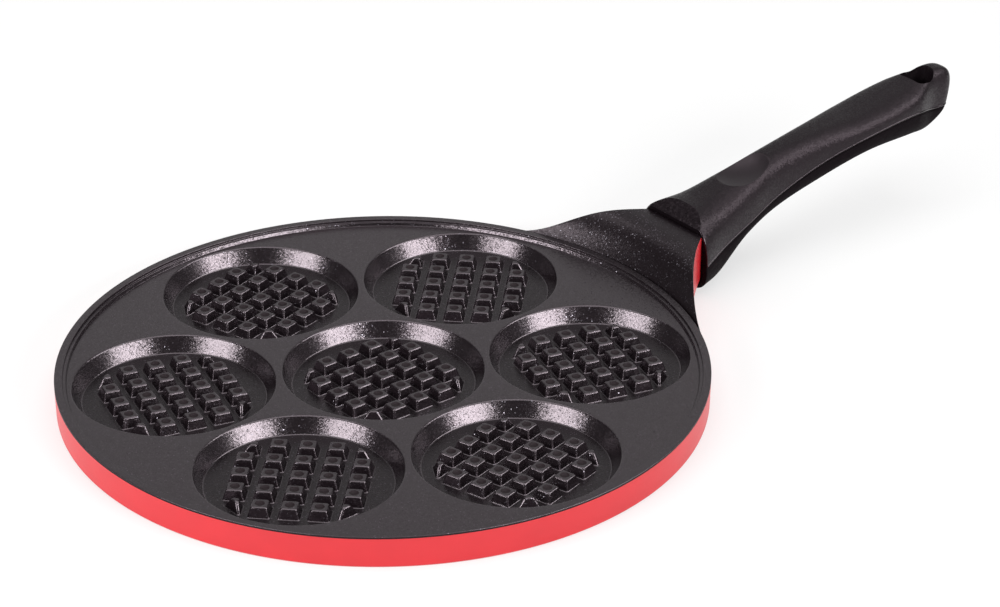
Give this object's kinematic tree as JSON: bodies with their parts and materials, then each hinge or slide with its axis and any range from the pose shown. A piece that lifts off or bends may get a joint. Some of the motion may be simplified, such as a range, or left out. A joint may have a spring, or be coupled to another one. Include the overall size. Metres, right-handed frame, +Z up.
{
  "type": "stovetop waffle pan",
  "caption": "Round cast pan for small thick waffles: studded round cups in a ring about a middle one, a raised rim, and a rising moulded handle with a hang hole.",
  "frame": {"origin": "centre of the pan's flat underside, on the stove's surface", "axes": "+X from the pan's centre along the handle, +Z up out of the cups, +Y to the left when looking along the handle from the pan"},
  "size_m": [0.4496, 0.265, 0.0584],
  "materials": {
    "nonstick_coating": "satin black non-stick coating on cast aluminium, fine grain",
    "enamel_red": "satin red enamel on the outside of the casting",
    "handle_plastic": "fine-grained black heat-proof plastic",
    "zinc_steel": "zinc-plated",
    "brass": "turned, plain",
    "gasket_board": "pressed heat-proof board"
  },
  "bodies": {
    "root": {"pan_casting": "nonstick_coating", "grip_upper_shell": "handle_plastic", "grip_lower_shell": "handle_plastic", "thread_insert": "brass", "handle_screw": "zinc_steel", "handle_washer": "zinc_steel", "handle_spring_washer": "zinc_steel", "heat_gasket": "gasket_board", "shell_screw_front": "zinc_steel", "shell_screw_rear": "zinc_steel"}
  },
  "joints": []
}
